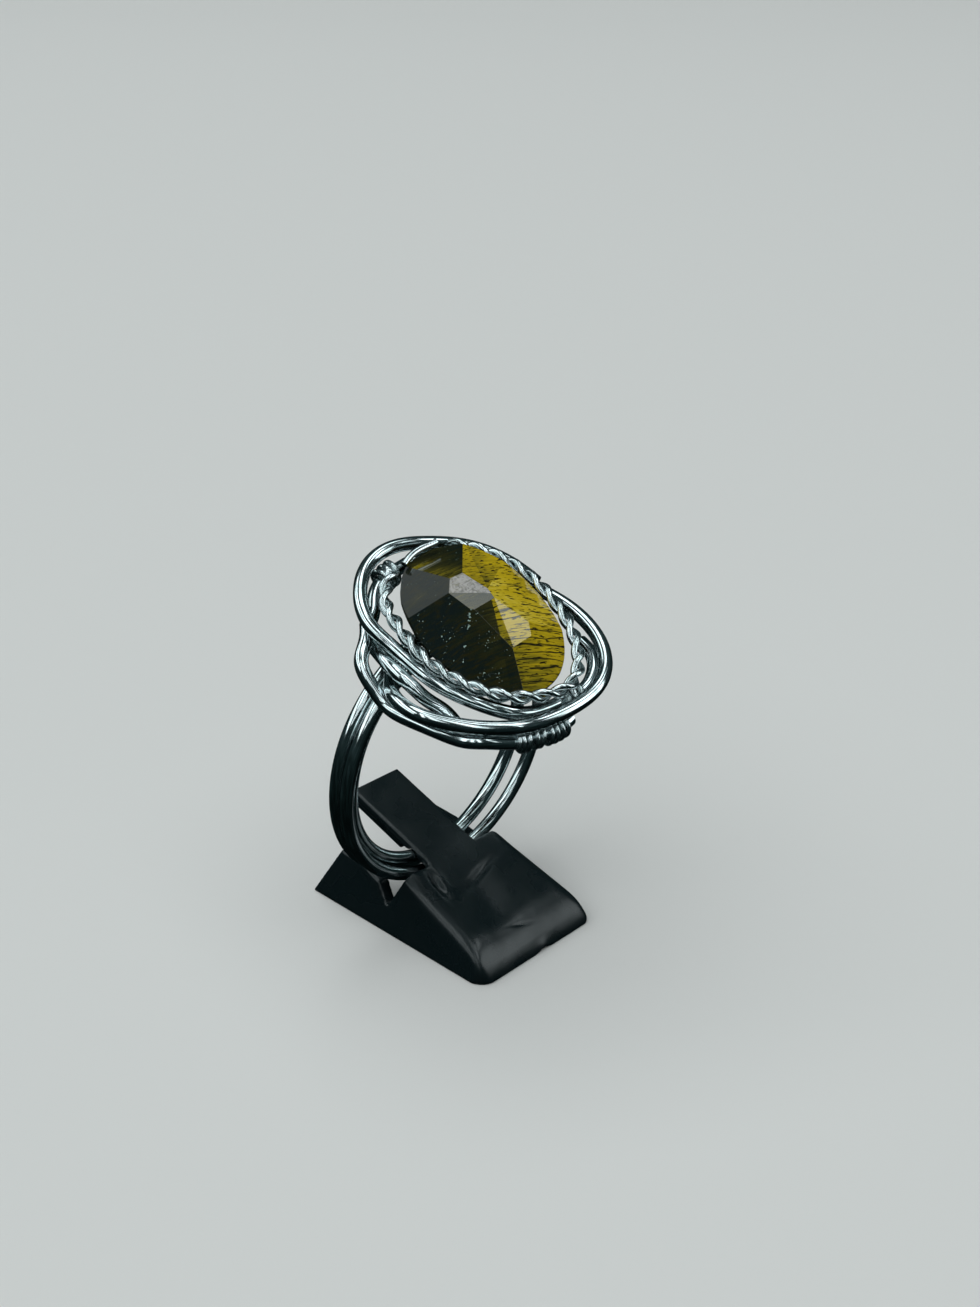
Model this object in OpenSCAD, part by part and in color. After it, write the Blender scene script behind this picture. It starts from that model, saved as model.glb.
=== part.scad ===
// A tiger eye ring on its display stand. A faceted oval stone sits in a loose nest
// of round wire, edged by a twisted rope, on a band of three round wires that stands
// on a small hollow moulded ramp.
//
// Sizes are millimetres. The origin is the middle of the stand's base, on the surface
// that it stands on. X runs across the stand, Y toward its far end and Z up. The ring's
// bottom wires lie in the notch of the stand, under its tongue.

/* [Stone] */
// Length of the oval stone
stone_length = 14; // [12:0.5:14]
// Width of the oval stone
stone_width = 10; // [8:0.5:10]
// Height of the stone's crown above the plane of its edge
crown_height = 2.0; // [1.9:0.1:2.4]
// Depth of the stone's back below its edge
back_depth = 1.7; // [1:0.1:1.8]

/* [Wire] */
// Diameter of the round wire of the band and the nest
wire_d = 1.0; // [0.8:0.05:1.0]
// Diameter of each of the rope's two strands
strand_d = 0.46; // [0.4:0.02:0.5]
// Number of full turns in the rope
rope_turns = 12; // [10:1:16]
// Diameter of the wire that holds the stone's far edge
holding_d = 0.5; // [0.4:0.05:0.5]
// Diameter of the wire that binds the nest
binding_d = 0.3; // [0.2:0.05:0.3]

/* [Band] */
// Radius of the two outer band wires, to their centre line
outer_band_r = 9.65; // [9.6:0.05:9.7]
// Radius of the band wire that lies in their groove
inner_band_r = 8.77; // [8.7:0.01:8.77]
// Lean of the ring away from upright, in degrees
ring_lean = 4.7; // [4.2:0.1:5.2]

/* [Stand] */
// Width of the stand at its base
stand_width = 11.8; // [11.2:0.1:12]
// Length of the stand
stand_length = 18.2; // [18:0.1:18.4]
// Slope of the ramp and the tongue, in degrees
ramp_slope = 19; // [18:0.5:20]
// Thickness of the stand's walls
wall = 1.0; // [0.8:0.1:1.2]
// Width of the tongue that passes through the ring
tongue_width = 4.7; // [4:0.1:5]
// Thickness of the tongue
tongue_thickness = 0.7; // [0.5:0.05:0.7]
// Depth of the rib under the tongue
rib_depth = 0.7; // [0.4:0.1:0.8]

/* [Hidden] */

SILVER = "#c9d0ce";
STONE = "#6d5212";
BLACK = "#1b1c1f";

// Centre of the ring, and where the middle of the stone's edge lies
ring_centre = [0, 0.92, 13.18];
head_centre = [0.2, -3.4, 24.9];
// Turn of the nest and the stone about X and Y
head_tilt = [24.4, -10.3, 0];
// Space left between pieces that touch
gap = 0.04;

// The stone's long axis, turned from Y, and the shift of its middle
stone_turn = -12.4;
stone_shift = [-0.1, 0.05];
GIRDLE_SIDES = 32;

// Sides of a meshed wire, rings of points between two rows of its route, and rings in
// one turn of a rope or a coil
WIRE_SIDES = 8;
THIN_WIRE_SIDES = 6;
RINGS_PER_ROW = 2.4;
RINGS_PER_TURN = 10;
// Larger than anything here, for cutting
BIG = 30;

// Crown facets, one a row: direction it faces, its tilt and its distance, in degrees
// and millimetres. The first is the table, nearly level.
CROWN = [
    [127, 4, 1.81],
    [131, 29, 2.73],
    [175, 25, 2.22],
    [-149, 18.5, 2.02],
    [-109, 10, 1.8],
    [-84, 11.5, 1.83],
    [-87, 19, 2.25],
    [-55, 23.5, 2.36],
    [-11, 23.5, 1.88],
    [17, 19.5, 2.01],
    [87, 25, 2.76]
];
// Facets round the stone's back, their tilt and the height where they meet the girdle
BACK_FACETS = 12;
back_tilt = 38;
girdle_low = 0.1;

// Routes of the wires on the tilted plane of the stone's edge, from the stone's middle.
// Each row is a point that the wire passes: across, along and height.
UPPER = [
    [6.4, 0.6, -1.1], [6.2, 2.6, -1.0], [5.6, 4.7, -1.1], [4.5, 6.5, -1.1],
    [2.8, 7.6, -0.9], [1.6, 8.2, -0.7], [-0.1, 9.0, -0.7], [-2.1, 8.8, -0.7],
    [-3.9, 7.9, -0.7], [-5.3, 6.4, -0.7], [-6.2, 4.8, -0.7], [-6.2, 3.3, -0.8],
    [-6.2, 1.7, -0.9], [-6.2, 0.1, -0.9], [-6.0, -1.7, -0.9], [-5.6, -3.1, -0.9],
    [-4.5, -5.3, -1.0], [-3.5, -6.4, -1.2], [-2.2, -7.1, -1.5], [-0.8, -7.4, -1.8],
    [0.6, -7.6, -1.9], [1.9, -7.8, -1.9], [2.9, -7.7, -1.9], [3.9, -7.3, -1.9],
    [4.8, -6.6, -1.9], [5.5, -5.7, -2.1], [5.8, -4.6, -2.3]
];
OUTER = [
    [-6.5, 1.8, -2.7], [-7.0, 1.3, -2.7], [-7.6, 0.7, -2.5], [-8.5, -0.4, -1.8],
    [-8.8, -1.9, -1.2], [-8.6, -3.0, -1.0], [-8.0, -4.1, -0.9], [-6.9, -5.6, -0.8],
    [-5.8, -6.7, -0.7], [-4.5, -7.6, -0.6], [-3.1, -8.3, -0.6], [-0.1, -8.8, -0.7],
    [2.2, -8.7, -0.7], [4.2, -7.8, -0.7], [5.7, -6.1, -0.9], [6.5, -3.9, -1.1],
    [6.9, -1.4, -1.6], [6.7, 0.8, -2.1], [6.2, 3.0, -2.1], [5.5, 5.0, -2.2],
    [4.1, 6.9, -2.2], [2.2, 7.8, -2.0], [0.6, 7.8, -2.0], [-0.6, 8.0, -2.1],
    [-2.3, 7.7, -2.1], [-3.5, 6.8, -2.1], [-4.2, 6.1, -2.1], [-5.2, 5.5, -2.0]
];
LOWER = [
    [-5.6, 5.4, -1.8], [-6.5, 4.4, -1.8], [-7.5, 3.8, -2.0], [-8.1, 3.1, -2.3],
    [-8.3, 2.0, -2.7], [-8.3, 0.9, -3.3], [-8.3, -0.2, -3.4], [-8.3, -1.5, -3.0],
    [-8.0, -3.3, -2.4], [-7.6, -4.9, -2.1], [-7.1, -5.9, -1.9], [-6.5, -6.6, -1.7],
    [-5.6, -7.3, -1.8], [-4.7, -7.9, -1.9], [-4.0, -8.2, -1.9], [-3.1, -8.5, -1.9],
    [-2.1, -8.8, -2.0], [-1.3, -8.9, -2.0], [-0.1, -8.8, -2.1]
];
CRADLE = [
    [-5.6, 5.0, -3.0], [-5.9, 4.2, -2.8], [-6.5, 2.9, -2.1], [-7.1, 1.4, -1.5],
    [-7.1, 0.3, -1.5], [-7.0, -0.7, -1.6], [-6.8, -1.5, -2.0], [-6.5, -2.3, -2.2],
    [-6.2, -3.1, -2.4], [-6.3, -4.1, -2.5]
];
ROPE = [
    [-2.1, 6.8, 0.0], [-3.1, 6.3, -0.1], [-3.9, 5.6, -0.1], [-4.6, 4.8, -0.1],
    [-5.0, 3.9, 0.0], [-5.3, 2.8, 0.1], [-5.9, 0.7, 0.2], [-5.9, -1.7, 0.3],
    [-5.2, -4.1, 0.5], [-4.2, -5.9, 0.6], [-2.7, -7.0, 0.5], [-1.3, -7.5, 0.3],
    [0.2, -7.8, 0.1], [1.7, -7.2, 0.0], [2.9, -6.2, 0.0], [4.0, -4.8, 0.0],
    [4.9, -2.7, 0.0], [5.5, -0.3, -0.1], [5.5, 2.2, -0.2], [5.0, 4.1, -0.3],
    [4.1, 5.8, -0.4], [3.3, 6.5, -0.4]
];
HOLDING = [
    [1.9, 6.7, 0.6], [1.0, 6.8, 0.6], [0.2, 6.9, 0.6], [-0.7, 6.8, 0.5],
    [-1.3, 6.6, 0.4]
];

// Band wires: radius, place along the finger and yaw
BAND_FAR = [outer_band_r, 0.75, 2.4];
BAND_NEAR = [outer_band_r, -0.86, -0.5];
BAND_INNER = [inner_band_r, 0.12, 2];

// Coils round a wire, one a row: where on the wire's route it starts and ends, counted
// in rows of that route, and its number of turns
TAIL_COIL = [[22.9, 23.8, 2.5]];
END_COIL = [[19.8, 21.1, 2.75]];
BINDING = [
    [13.1, 13.9, 2], [13.9, 14.4, 0.5], [14.4, 15, 1.5], [15, 15.5, 0.5], [15.5, 17.3, 4]
];

// Height of the ramp's plane above the base at the origin
ramp_height = 5.06;
near_y = -stand_length / 2;
far_y = stand_length / 2;
// The stand's nose, from the base up to the ramp: distance from the near end and height
NOSE = [[0, 0], [0.2, 0.6], [0.55, 1.25], [0.95, 1.75], [1.4, 2.15], [1.9, 2.5]];
// Where the ramp starts and ends, and where the hollow under it starts
ramp_start = near_y + 2.5;
ramp_end = -0.3;
hollow_start = near_y + 1.5;
// The notch's wall and floor and the far wedge, each row a point: along and height
NOTCH = [[0.4, 3.56], [1.2, 2.0], [2.3, 3.4], [4.1, 4.0], [6.7, 4.2]];
tongue_reach = 8.1;
// Where the rib under the tongue starts, beyond the ring, and its step in from the sides
rib_start = 2.6;
rib_step = 0.2;
// Radius of the base's near corners, left and right
corner_r = [1.5, 0.9];
// Lean of the sides, and thickness of the ramp over the hollow
side_draft = 13.5;
top_thickness = 1.2;
// Where the hollow opens below the notch
hollow_open = 0.2;
// Chamfer along the ramp's two side edges: direction it faces, its tilt and its distance
EDGE = [-18.6, 41, 6.4];

function unit(v) = v / norm(v);

// Point at position s of a smooth curve through the rows of a route
function along(route, s) =
    let (
        i = min(floor(s), len(route) - 2),
        f = s - i,
        a = route[max(i - 1, 0)],
        b = route[i],
        c = route[i + 1],
        d = route[min(i + 2, len(route) - 1)]
    )
    0.5 * (2 * b + (c - a) * f + (2 * a - 5 * b + 4 * c - d) * f * f
        + (3 * b - 3 * c + d - a) * f * f * f);

function smooth_path(route, from, to, rings) =
    [for (k = [0 : rings - 1]) along(route, from + (to - from) * k / (rings - 1))];

function tangent(path, i) =
    unit(path[min(i + 1, len(path) - 1)] - path[max(i - 1, 0)]);

// Length of a path up to each of its points
function lengths(path) =
    [for (i = 0, sum = 0; i < len(path);
        sum = sum + (i + 1 < len(path) ? norm(path[i + 1] - path[i]) : 0), i = i + 1) sum];

// Spokes that turn round a path, one for each of its points, by the given angles
function spokes(path, angles) =
    [for (i = [0 : len(path) - 1])
        let (
            side = unit(cross(tangent(path, i), [0, 0, 1])),
            up = cross(side, tangent(path, i))
        )
        cos(angles[i]) * side + sin(angles[i]) * up];

// Round wire along a path. Each ring of points is turned to face its own upward vector.
module tube(path, up, d, sides) {
    n = len(path);
    points = [
        for (i = [0 : n - 1])
            let (
                t = tangent(path, i),
                side = unit(cross(t, up[i])),
                rise = cross(side, t)
            )
            for (k = [0 : sides - 1])
                path[i] + d / 2 * (cos(360 * k / sides) * side + sin(360 * k / sides) * rise)
    ];
    walls = [
        for (i = [0 : n - 2])
            for (k = [0 : sides - 1])
                let (
                    a = i * sides + k,
                    b = i * sides + (k + 1) % sides
                )
                each [[a, b, b + sides], [a, b + sides, a + sides]]
    ];
    start = [for (k = [0 : sides - 1]) sides - 1 - k];
    end = [for (k = [0 : sides - 1]) (n - 1) * sides + k];
    polyhedron(points, concat(walls, [start, end]));
}

// Wire that follows a whole route
module wire(route, d, sides) {
    path = smooth_path(route, 0, len(route) - 1, round(RINGS_PER_ROW * (len(route) - 1)) + 1);
    tube(path, [for (p = path) [0, 0, 1]], d, sides);
}

// One strand of a rope twisted to the left round a route
module strand(route, d, turns, phase) {
    rings = RINGS_PER_TURN * turns;
    path = smooth_path(route, 0, len(route) - 1, rings);
    run = lengths(path);
    spoke = spokes(path, [for (l = run) phase - 360 * turns * l / run[rings - 1]]);
    twisted = [for (i = [0 : rings - 1]) path[i] + (d / 2 + gap) * spoke[i]];
    tube(twisted, spoke, d, THIN_WIRE_SIDES);
}

// Turns that a coil has made before one of its rows
function turns_before(rows, r) = r == 0 ? 0 : turns_before(rows, r - 1) + rows[r - 1][2];

// Thin wire coiled round another wire, by the rows of a coil table
module coil(route, rows, core_d, d) {
    steps = [
        for (r = [0 : len(rows) - 1])
            let (
                row = rows[r],
                count = ceil(row[2] * RINGS_PER_TURN)
            )
            for (k = [min(r, 1) : count])
                [
                    row[0] + (row[1] - row[0]) * k / count,
                    360 * (turns_before(rows, r) + row[2] * k / count)
                ]
    ];
    path = [for (s = steps) along(route, s[0])];
    spoke = spokes(path, [for (s = steps) s[1]]);
    wound = [for (i = [0 : len(path) - 1]) path[i] + ((core_d + d) / 2 + gap) * spoke[i]];
    tube(wound, spoke, d, THIN_WIRE_SIDES);
}

// Everything beyond a tilted plane at a distance from the origin
module beyond(azimuth, tilt, distance) {
    rotate([0, tilt, azimuth])
        translate([-BIG, -BIG, distance])
            cube([2 * BIG, 2 * BIG, BIG]);
}

module on_head() {
    translate(head_centre) rotate(head_tilt) children();
}

module stone() {
    color(STONE)
        on_head()
            difference() {
                translate([stone_shift[0], stone_shift[1], -back_depth])
                    rotate([0, 0, stone_turn])
                        linear_extrude(back_depth + crown_height)
                            polygon([for (i = [0 : GIRDLE_SIDES - 1])
                                [stone_width / 2 * cos(360 * i / GIRDLE_SIDES),
                                    stone_length / 2 * sin(360 * i / GIRDLE_SIDES)]]);
                for (facet = CROWN)
                    beyond(facet[0], facet[1], facet[2]);
                for (i = [0 : BACK_FACETS - 1])
                    back_cut(360 * (i + 0.5) / BACK_FACETS);
            }
}

// Cut of one back facet, which meets the stone's edge at the girdle
module back_cut(angle) {
    translate([stone_shift[0], stone_shift[1], 0])
        rotate([0, 0, stone_turn])
            beyond(
                facing(angle),
                180 - back_tilt,
                support(angle) * sin(back_tilt) - girdle_low * cos(back_tilt)
            );
}

// Direction square to the oval at an angle, and the distance of its tangent there
function facing(angle) = atan2(sin(angle) / stone_length, cos(angle) / stone_width);
function support(angle) =
    norm([stone_width / 2 * cos(facing(angle)), stone_length / 2 * sin(facing(angle))]);

module rope_strand(phase) {
    color(SILVER) on_head() strand(ROPE, strand_d, rope_turns, phase);
}

// Round hoop of the band: its radius, its place along the finger and its yaw
module hoop(radius, offset, yaw, d) {
    translate(ring_centre)
        rotate([ring_lean, 0, 0])
            translate([0, offset, 0])
                rotate([90, 0, yaw])
                    rotate_extrude($fn = 96)
                        translate([radius, 0])
                            circle(d = d, $fn = 16);
}

module band_wire(place) {
    color(SILVER) hoop(place[0], place[1], place[2], wire_d);
}

module halo_wire(route) {
    color(SILVER) on_head() wire(route, wire_d, WIRE_SIDES);
}

module holding_wire() {
    color(SILVER) on_head() wire(HOLDING, holding_d, THIN_WIRE_SIDES);
}

module ring_coil(route, rows, d) {
    color(SILVER) on_head() coil(route, rows, wire_d, d);
}

// Height of the ramp's plane at a distance along the stand
function ramp(y) = ramp_height + y * tan(ramp_slope);

// Outline seen from the side, from the near base up the nose and the ramp, down into
// the notch and over the far wedge
module side_outline() {
    polygon(concat(
        [for (point = NOSE) [near_y + point[0], point[1]]],
        [[ramp_start, ramp(ramp_start)], [ramp_end, ramp(ramp_end)]],
        NOTCH,
        [[far_y, 0]]
    ));
}

// Shape seen from the far end, with sides that lean in
module end_outline(inset) {
    below = -1;
    above = 10;
    half_below = stand_width / 2 - inset - below * tan(side_draft);
    half_above = stand_width / 2 - inset - above * tan(side_draft);
    polygon([
        [-half_below, below], [half_below, below], [half_above, above], [-half_above, above]
    ]);
}

// Base seen from above, with its near corners rounded
module plan_outline() {
    half = stand_width / 2;
    polygon([
        [corner_r[0] - half, near_y], [half - corner_r[1], near_y], [half, near_y + corner_r[1]],
        [half, 2 * far_y], [-half, 2 * far_y], [-half, near_y + corner_r[0]]
    ]);
    translate([corner_r[0] - half, near_y + corner_r[0]])
        circle(r = corner_r[0], $fn = 32);
    translate([half - corner_r[1], near_y + corner_r[1]])
        circle(r = corner_r[1], $fn = 32);
}

module across(width) {
    rotate([90, 0, 90]) linear_extrude(width, center = true) children();
}

module from_end() {
    rotate([90, 0, 0]) linear_extrude(4 * stand_length, center = true) children();
}

module stand_hollow() {
    drop = top_thickness / cos(ramp_slope);
    intersection() {
        across(stand_width)
            polygon([
                [hollow_start, -BIG], [hollow_start, ramp(hollow_start) - drop],
                [hollow_open, ramp(hollow_open) - drop], [hollow_open, BIG], [BIG, BIG], [BIG, -BIG]
            ]);
        from_end() end_outline(wall);
    }
}

// Bar under the ramp's plane between two places along the stand
module bar(from, to, width, depth) {
    translate([0, 0, ramp_height])
        rotate([ramp_slope, 0, 0])
            translate([-width / 2, from / cos(ramp_slope), -depth])
                cube([width, (to - from) / cos(ramp_slope), depth]);
}

// Tongue level with the ramp, with a rib under it beyond the ring. The band's inner wire
// lies in a groove under it.
module tongue() {
    difference() {
        union() {
            bar(-1, tongue_reach, tongue_width, tongue_thickness);
            bar(rib_start, tongue_reach, tongue_width - 2 * rib_step, tongue_thickness + rib_depth);
        }
        hoop(BAND_INNER[0], BAND_INNER[1], BAND_INNER[2], wire_d + 2 * gap);
    }
}

module display_stand() {
    color(BLACK)
        union() {
            difference() {
                intersection() {
                    across(2 * stand_width) side_outline();
                    from_end() end_outline(0);
                    linear_extrude(BIG) plan_outline();
                }
                stand_hollow();
                beyond(EDGE[0], EDGE[1], EDGE[2]);
                beyond(180 - EDGE[0], EDGE[1], EDGE[2]);
            }
            tongue();
        }
}

stone();
rope_strand(0);  // rope_strand_a
rope_strand(180);  // rope_strand_b
holding_wire();
band_wire(BAND_FAR);  // band_wire_far
band_wire(BAND_NEAR);  // band_wire_near
band_wire(BAND_INNER);  // band_wire_inner
halo_wire(UPPER);  // halo_wire_upper
halo_wire(OUTER);  // halo_wire_outer
halo_wire(LOWER);  // halo_wire_lower
halo_wire(CRADLE);  // cradle_wire
ring_coil(LOWER, BINDING, binding_d);  // binding_wire
ring_coil(OUTER, TAIL_COIL, strand_d);  // rope_tail_coil
ring_coil(UPPER, END_COIL, strand_d);  // rope_end_coil
display_stand();
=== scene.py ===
# A tiger eye ring, wrapped from silver wire, standing on its small black display stand.
# The script runs in the order in which a maker would put the thing together: the table
# that it stands on, the stand, the band, the nest of wire, the stone and its rope.
import math

import bpy
from mathutils import Euler, Matrix, Vector


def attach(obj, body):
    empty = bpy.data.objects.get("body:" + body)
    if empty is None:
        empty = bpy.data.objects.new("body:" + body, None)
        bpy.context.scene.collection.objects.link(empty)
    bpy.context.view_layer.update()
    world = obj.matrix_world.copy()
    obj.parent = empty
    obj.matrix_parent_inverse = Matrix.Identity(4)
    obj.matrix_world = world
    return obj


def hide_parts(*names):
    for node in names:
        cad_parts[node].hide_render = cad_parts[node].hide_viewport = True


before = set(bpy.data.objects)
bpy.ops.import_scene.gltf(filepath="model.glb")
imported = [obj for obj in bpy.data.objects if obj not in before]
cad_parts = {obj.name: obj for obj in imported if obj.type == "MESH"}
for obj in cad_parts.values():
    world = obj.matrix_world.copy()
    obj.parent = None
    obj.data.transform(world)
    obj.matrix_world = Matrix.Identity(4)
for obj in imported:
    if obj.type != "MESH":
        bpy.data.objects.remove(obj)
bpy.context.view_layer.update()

# Camera, table and lights
# The photograph looks down at 25 degrees from the front left, from about 12 cm. The
# table is plain pale card under soft overhead panels.
MM = 0.001
CAMERA_PLACE = Vector((-71.25, -72.64, 69.4)) * MM
CAMERA_PITCH = math.radians(25.37)
CAMERA_TURN = math.radians(-46.15)
PHOTO_HEIGHT = 1307
FOCAL_PIXELS = 1600
SENSOR_HEIGHT = 36
NEAREST_SEEN = 1 * MM
FARTHEST_SEEN = 50
TABLE_SIZE = 12


def linear(code):
    """The linear colour of an sRGB hex value."""
    parts = [int(code[i:i + 2], 16) / 255 for i in (1, 3, 5)]
    return [c / 12.92 if c <= 0.04045 else ((c + 0.055) / 1.055) ** 2.4 for c in parts] + [1.0]


def new_material(name):
    """An empty material with a Principled shader wired to its output."""
    material = bpy.data.materials.new(name)
    material.use_nodes = True
    return material


def add_node(material, kind, inputs, **settings):
    """Adds one shader node, with its settings, its input values and its links."""
    node = material.node_tree.nodes.new("ShaderNode" + kind)
    for name, value in settings.items():
        setattr(node, name, value)
    for name, value in inputs.items():
        if isinstance(value, bpy.types.NodeSocket):
            material.node_tree.links.new(value, node.inputs[name])
        else:
            node.inputs[name].default_value = value
    return node


def finish_shader(material, values, links):
    """Sets the plain values of the Principled shader and links its patterned ones."""
    shader = material.node_tree.nodes["Principled BSDF"]
    for name, value in values.items():
        shader.inputs[name].default_value = value
    for name, socket in links.items():
        material.node_tree.links.new(socket, shader.inputs[name])


def set_stops(ramp, stops):
    """Gives a Color Ramp its stops, each a place and a hex colour."""
    elements = ramp.color_ramp.elements
    while len(elements) > 1:
        elements.remove(elements[-1])
    elements[0].position = stops[0][0]
    elements[0].color = linear(stops[0][1])
    for position, code in stops[1:]:
        elements.new(position).color = linear(code)


bpy.ops.object.select_all(action="DESELECT")
bpy.ops.object.camera_add(
    location=CAMERA_PLACE, rotation=(math.pi / 2 - CAMERA_PITCH, 0, CAMERA_TURN)
)
camera = bpy.context.object
camera.data.sensor_fit = "VERTICAL"
camera.data.sensor_height = SENSOR_HEIGHT
camera.data.lens = FOCAL_PIXELS / PHOTO_HEIGHT * SENSOR_HEIGHT
camera.data.clip_start = NEAREST_SEEN
camera.data.clip_end = FARTHEST_SEEN
bpy.context.scene.camera = camera

bpy.ops.mesh.primitive_plane_add(size=TABLE_SIZE, location=(0, 0, 0))
table = bpy.context.object
table.name = "table_top"
card = new_material("pale_card")
place = add_node(card, "TexCoord", {})
# Card fibres, a few tenths of a millimetre across
card_fibres = add_node(
    card, "TexNoise", {"Vector": place.outputs["Object"], "Scale": 2500, "Detail": 3}
)
fibre_relief = add_node(
    card,
    "Bump",
    {"Height": card_fibres.outputs["Fac"], "Strength": 0.15, "Distance": 0.02 * MM},
)
finish_shader(
    card,
    {"Base Color": linear("#e6e0dd"), "Roughness": 0.75, "Specular IOR Level": 0.3},
    {"Normal": fibre_relief.outputs["Normal"]},
)
table.data.materials.append(card)
# The wire would mirror the card from below and lose its dark flanks
table.visible_glossy = False

# Each panel: its place, the point it faces, its two sizes in metres and its radiance. The
# panels light the ring and its stand alone, so that the table stays evenly lit.
RING_SPOT = (0, 0, 0.02)
PANELS = {
    "overhead_panel": ((0.10, 0.105, 0.50), (0.10, 0.105, 0), (0.26, 0.17), 2.2),
    "zenith_panel": ((-0.055, -0.01, 0.50), (-0.055, -0.01, 0), (0.13, 0.22), 2.0),
    "near_panel": ((0.055, -0.225, 0.50), (0.055, -0.225, 0), (0.14, 0.27), 2.6),
    "far_panel": ((-0.01, 0.385, 0.50), (-0.01, 0.385, 0), (0.13, 0.11), 0.7),
    "left_upper_panel": ((-0.30, 0.27, 0.50), RING_SPOT, (0.86, 0.14), 2.2),
    "left_lower_panel": ((-0.38, 0.34, 0.30), RING_SPOT, (0.86, 0.17), 1.5),
    "camera_side_tube_1": ((-0.40, -0.17, 0.42), RING_SPOT, (0.07, 0.46), 1.8),
    "camera_side_tube_2": ((-0.33, -0.26, 0.42), RING_SPOT, (0.07, 0.46), 1.8),
    "camera_side_tube_3": ((-0.24, -0.35, 0.42), RING_SPOT, (0.07, 0.46), 1.8),
    "back_tube": ((-0.04, -0.42, 0.36), RING_SPOT, (0.03, 0.30), 1.8),
    "right_strip": ((0.083, -0.115, 0.072), RING_SPOT, (0.075, 0.105), 2.0),
    "low_strip": ((0.28, -0.185, 0.50), (0.28, -0.185, 0), (0.14, 0.17), 3.0),
}
FILL_PLACE = (-0.8, 0.2, 3.0)
FILL_SIZE = 6
FILL_RADIANCE = 1.2
TABLE_LIGHT_RADIANCE = 1.1
lit_pieces = bpy.data.collections.new("lit_pieces")
lit_table = bpy.data.collections.new("lit_table")
lit_table.objects.link(table)


def add_panel(name, spot, aim, size, radiance):
    """A rectangular soft light that faces a point, with its power from its radiance."""
    bpy.ops.object.light_add(type="AREA", location=spot)
    light = bpy.context.object
    light.name = name
    light.rotation_euler = (Vector(aim) - Vector(spot)).to_track_quat("-Z", "Y").to_euler()
    light.data.shape = "RECTANGLE"
    light.data.size = size[0]
    light.data.size_y = size[1]
    light.data.energy = radiance * math.pi * size[0] * size[1]
    light.data.color = linear("#f0fbfd")[:3]
    return light


for name, row in PANELS.items():
    add_panel(name, *row).light_linking.receiver_collection = lit_pieces
fill = add_panel("broad_fill", FILL_PLACE, RING_SPOT, (FILL_SIZE, FILL_SIZE), FILL_RADIANCE)
fill.visible_glossy = False
table_light = add_panel(
    "table_light", FILL_PLACE, RING_SPOT, (FILL_SIZE, FILL_SIZE), TABLE_LIGHT_RADIANCE
)
table_light.visible_glossy = False
table_light.light_linking.receiver_collection = lit_table

room = bpy.data.worlds.new("studio_room")
room.use_nodes = True
# The wires mirror a dark room with a few paler things in it, lighter toward the ceiling,
# and the backdrop behind the table is pale
sky = add_node(room, "TexCoord", {})
height = add_node(room, "SeparateXYZ", {"Vector": sky.outputs["Generated"]})
clutter = add_node(
    room, "TexNoise", {"Vector": sky.outputs["Generated"], "Scale": 4, "Detail": 3}
)
paleness = add_node(
    room,
    "Math",
    {0: height.outputs["Z"], 1: 0.35, 2: clutter.outputs["Fac"]},
    operation="MULTIPLY_ADD",
)
walls = add_node(room, "ValToRGB", {"Fac": paleness.outputs["Value"]})
set_stops(walls, [(0.25, "#050a0a"), (0.45, "#121d1d"), (0.65, "#243132"), (0.95, "#384647")])
ray_kind = add_node(room, "LightPath", {})
# A colour Mix node has its factor at socket 0, its colours at 6 and 7 and its result at 2
seen = add_node(
    room,
    "Mix",
    {
        0: ray_kind.outputs["Is Camera Ray"],
        6: walls.outputs["Color"],
        7: linear("#b3b8b6"),
    },
    data_type="RGBA",
)
room.node_tree.links.new(seen.outputs[2], room.node_tree.nodes["Background"].inputs["Color"])
bpy.context.scene.world = room
bpy.context.scene.view_settings.view_transform = "Standard"

# Display stand
# A hollow black ramp, injection moulded in ABS, with a notch that takes the band and a
# tongue that passes through the finger hole. Its edges are soft and its top is dented.
STAND_DETAIL = 0.11 * MM
# Rounds of wear on the whole stand, and more on the ramp, whose own edges are far rounder
# than those of the notch and the tongue
WEAR = 12
RAMP_WEAR = 70
# The ramp's wear fades in toward the near end and upward: where it starts and how soon it
# is full, in millimetres
WEAR_ALONG = (-0.8, 1.2)
WEAR_UP = (0.3, 0.6)
# Dents in the ramp, one a row: middle, half length, half width, turn in degrees and depth
DENTS = [
    ((-1.3, -4.3), 3.0, 1.8, 75, 0.25),
    ((-3.15, -1.85), 1.2, 0.3, -101, 0.4),
    ((-2.6, -2.0), 1.2, 0.3, -101, -0.15),
    ((0.45, -2.75), 2.1, 0.35, 15, 0.15),
    ((-0.4, -7.6), 0.8, 0.12, -15, 0.08),
]
DENTS_ABOVE = 1.2
# A chip in the near bottom edge: middle, half width and height, and where it fades out
CHIP = ((0.7, -9.1), 0.5, 0.3)
CHIP_TOP = 1
# A dent or a chip ends at this many times its half sizes
DENT_END = 2
# A surface faces up if this much of its normal does
FACING_UP = 0.1


def keep_copy(node):
    """A merged copy of a solid, ready to be worked on."""
    bpy.ops.object.select_all(action="DESELECT")
    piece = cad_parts[node].copy()
    piece.data = piece.data.copy()
    piece.parent = None
    for key in list(piece.keys()):
        del piece[key]
    piece.data.materials.clear()
    bpy.context.scene.collection.objects.link(piece)
    piece.select_set(True)
    bpy.context.view_layer.objects.active = piece
    bpy.ops.object.mode_set(mode="EDIT")
    bpy.ops.mesh.select_all(action="SELECT")
    bpy.ops.mesh.remove_doubles(threshold=0.001 * MM)
    bpy.ops.object.mode_set(mode="OBJECT")
    return piece


def wear_down(piece, rounds, group=""):
    """Wears a piece's edges round, in one vertex group or all over."""
    wear = piece.modifiers.new("wear", "SMOOTH")
    wear.factor = 0.5
    wear.iterations = rounds
    wear.vertex_group = group
    bpy.ops.object.modifier_apply(modifier="wear")


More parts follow.
